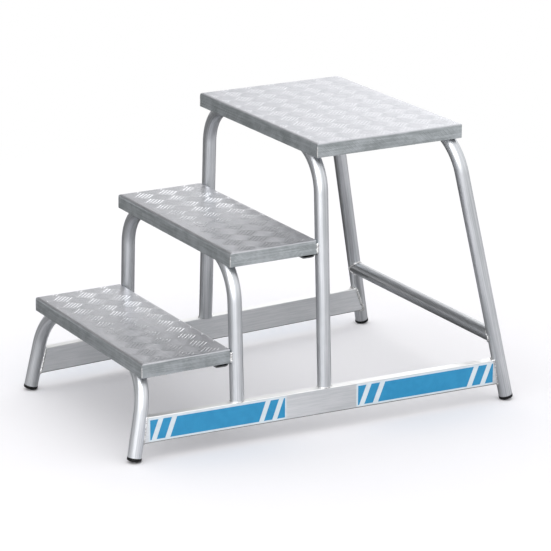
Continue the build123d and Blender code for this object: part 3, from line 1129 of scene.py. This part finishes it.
# %% Dark cloth
cloth_cover = 0.60  # how much of the floor it hides near the steps
cloth_left = 0.25  # how much more it hides on the left
cloth_rear = 0.36  # how much more it hides in a band under the brace
cloth_patch = 0.15  # how much more it hides in a patch far out on the left
cloth_back_right = 0.25  # how much less it hides to the back right
cloth_gap = 0.50  # how much less it hides towards the camera
cloth_grey = 0.06
left_edge = 0.25, 0.55  # metres to the left, from the plain cover to the thicker one
band_edge = 0.06, 0.16  # from the brace's line, where the band thins out
band_left = -0.25, -0.05
band_right = 0.24, 0.30
patch_edge = 0.36, 0.52  # from the patch's middle
back_right_edge = 0.2, 0.9  # metres to the back right
gap_edge = 0.76, 1.0  # from beside the camera's direction to straight towards it
patch_middle = (-0.78, 0.0, 0.0)
back_right_way = (0.64, 0.77, 0.0)
camera_way = (0.81, -0.59, 0.0)
screen_grey = 0.20
screen_distance = 3.0
screen_lower = 0.6, 1.5  # height of its lower edge, and of its end at the back
screen_upper = 4.2
screen_turn = np.radians([158, 284])
screen_columns = 25


def only_mirrored(sheet):
    """The sheet shows in mirror reflections and nowhere else."""
    sheet.visible_camera = False
    sheet.visible_diffuse = False
    sheet.visible_transmission = False
    sheet.visible_shadow = False


def woven(shade, tone):
    """Cloth with a faint weave."""
    spot = shade.node("TexCoord", {}, {}, "Object")
    weave = spot.noise(200.0).mix(grey(tone * 0.9), grey(tone * 1.1))
    return spot, shade.node("BsdfDiffuse", {}, {"Color": weave})


cloth = flat_sheet("dark_cloth", 0.0006)
only_mirrored(cloth)
dye, cloth_end = studio_finish(cloth)
spot, black = woven(dye, cloth_grey)
heading = spot.node("VectorMath", {"operation": "NORMALIZE"}, {0: spot})
back_right = spot.measure("DOT_PRODUCT", back_right_way)
frontness = heading.measure("DOT_PRODUCT", camera_way)
from_patch = spot.measure("DISTANCE", patch_middle)
x, y = spot.parts()[:2]
from_brace = y.math("ABSOLUTE", y - brace_middle[1])
under_brace = (1 - from_brace.step(*band_edge)) * x.step(*band_left) * (1 - x.step(*band_right))
cover = cloth_cover + cloth_left * (0 - x).step(*left_edge) + cloth_rear * under_brace
cover = cover + cloth_patch * (1 - from_patch.step(*patch_edge))
cover = cover - cloth_back_right * back_right.step(*back_right_edge) - cloth_gap * frontness.step(*gap_edge)
clear = dye.node("BsdfTransparent", {}, {})
laid = dye.node("MixShader", {}, {0: cover.math("MAXIMUM", cover, 0.0), 1: clear, 2: black})
dye.tree.links.new(laid.socket, cloth_end)


def hung_screen():
    """An upright part of a round wall: distance * (cos(turn), sin(turn)), between its two edges.
    The lower edge slopes up over the third of the wall that is nearest the back."""
    turn = np.linspace(*screen_turn, screen_columns)[:, None]
    slope = np.clip(1 - np.linspace(0, 3, screen_columns), 0, 1)[:, None]
    lower = screen_lower[0] + (screen_lower[1] - screen_lower[0]) * slope
    height = lower + (screen_upper - lower) * np.linspace(0, 1, 3)[None, :]
    x = screen_distance * np.cos(turn) + 0 * height
    y = screen_distance * np.sin(turn) + 0 * height
    return make_piece("dark_screen", np.stack([x, y, height], -1), net_faces(screen_columns, 3))


screen = hung_screen()
only_mirrored(screen)
screen_dye, screen_end = studio_finish(screen)
hung = woven(screen_dye, screen_grey)[1]
screen_dye.tree.links.new(hung.socket, screen_end)

# %% [markdown]
# The light is a plain soft studio: an evenly pale room, with three panels that only shine in the
# metal. The front one draws the long bright lines on the legs, and the one behind glints on the
# raised bars and along the upper edges. A small weak one close over the treads brings out the bars
# of the other hand. Ordinary lamps would also burn out the floor and its shadow, so these are
# hidden from matt light. Light linking also leaves the plates out of the front panel's light,
# because seen from behind their level tops would mirror it as one white glare.

# %% Light
room_light = 1.10
world = bpy.data.worlds.new("studio")
scene.world = world
world.use_nodes = True
world.node_tree.nodes["Background"].inputs["Color"].default_value = grey(1.0)
world.node_tree.nodes["Background"].inputs["Strength"].default_value = room_light


def panel(name, place, target, width, height, power):
    """A soft rectangular lamp that faces a point and shows only as a reflection."""
    light = bpy.data.lights.new(name, "AREA")
    light.shape = "RECTANGLE"
    light.size = width
    light.size_y = height
    light.energy = power
    lamp = bpy.data.objects.new(name, light)
    out = unit(np.array(place) - np.array(target))
    sideways = unit(np.cross([0.0, 0.001, 1.0], out))
    turned = np.eye(4)
    turned[:3] = np.column_stack([sideways, np.cross(out, sideways), out, place])
    lamp.matrix_world = Matrix(turned.tolist())
    lamp.visible_camera = False
    lamp.visible_diffuse = False
    scene.collection.objects.link(lamp)
    print(name, power, "W")
    return lamp


front_power = 66.0
window_power = 20.0
overhead_power = 1.1
front_panel = panel("front_panel", (2.0, -1.9, 1.6), (0.0, 0.0, 0.3), 2.0, 1.6, front_power)
panel("window_panel", (-3.0, 3.4, 2.45), (0.0, 0.0, 0.35), 1.5, 1.2, window_power)
panel("overhead_panel", (-0.55, 0.45, 1.5), (0.0, 0.25, 0.6), 0.7, 0.6, overhead_power)

left_out = bpy.data.collections.new("not_in_front_panel")
for piece in plate_pieces:
    left_out.objects.link(piece)
for member in left_out.collection_objects:
    member.light_linking.link_state = "EXCLUDE"
front_panel.light_linking.receiver_collection = left_out
scene.view_settings.view_transform = "Standard"
